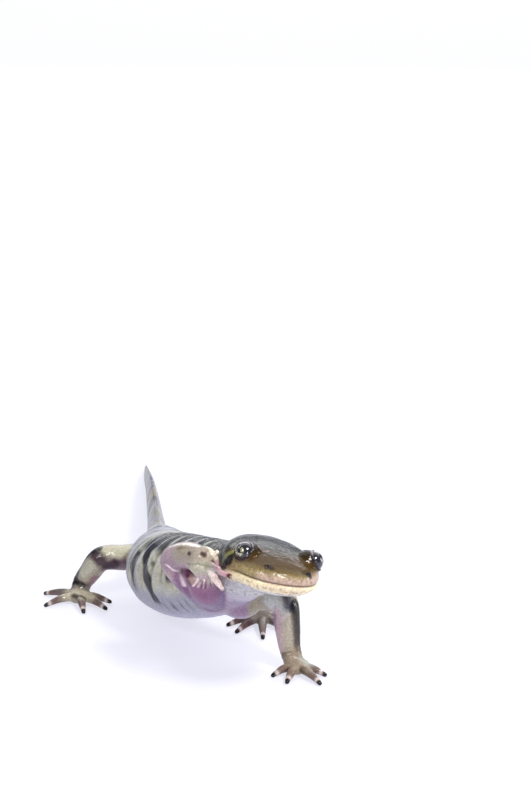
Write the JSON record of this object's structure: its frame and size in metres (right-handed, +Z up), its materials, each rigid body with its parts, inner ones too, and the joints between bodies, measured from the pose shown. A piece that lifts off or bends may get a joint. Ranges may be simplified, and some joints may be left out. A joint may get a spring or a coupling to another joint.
{
  "type": "tiger salamander figure",
  "caption": "Life-size still figure of an adult tiger salamander in mid-step, one forefoot lifted beside its cheek, tail laid straight back on the floor.",
  "frame": {"origin": "middle of the footprint on the floor", "axes": "+X towards the animal's left, +Y from the head end to the tail tip, +Z up from the floor"},
  "size_m": [0.0666, 0.1642, 0.0352],
  "materials": {
    "head": "wet skin, olive brown over a cream lip",
    "eye_left": "dark glossy eyeball",
    "eye_right": "dark glossy eyeball",
    "torso_front": "wet skin, dark bars over a pink chest",
    "torso_middle": "wet skin, dark and pale bars",
    "torso_rear": "wet skin, dark and pale bars",
    "tail_base": "wet skin, pale with dark bars",
    "tail_middle": "wet skin, pale with dark bars",
    "tail_tip": "wet skin, pale",
    "upper_arm_left": "wet skin, grey and pink",
    "forearm_left": "wet skin, grey",
    "hand_left": "wet skin, brown with dark toe tips",
    "upper_arm_right": "wet skin, pink",
    "forearm_right": "wet skin, pale pinkish",
    "hand_right": "wet skin, pale pinkish palm",
    "thigh_left": "wet skin, grey",
    "shin_left": "wet skin, grey",
    "foot_left": "wet skin, grey brown with dark toe tips",
    "thigh_right": "wet skin, grey",
    "shin_right": "wet skin, grey",
    "foot_right": "wet skin, grey brown with dark toe tips"
  },
  "bodies": {
    "root": {"head": "head", "eye_left": "eye_left", "eye_right": "eye_right", "torso_front": "torso_front", "torso_middle": "torso_middle", "torso_rear": "torso_rear", "tail_base": "tail_base", "tail_middle": "tail_middle", "tail_tip": "tail_tip", "upper_arm_left": "upper_arm_left", "forearm_left": "forearm_left", "hand_left": "hand_left", "upper_arm_right": "upper_arm_right", "forearm_right": "forearm_right", "hand_right": "hand_right", "thigh_left": "thigh_left", "shin_left": "shin_left", "foot_left": "foot_left", "thigh_right": "thigh_right", "shin_right": "shin_right", "foot_right": "foot_right"}
  },
  "joints": []
}
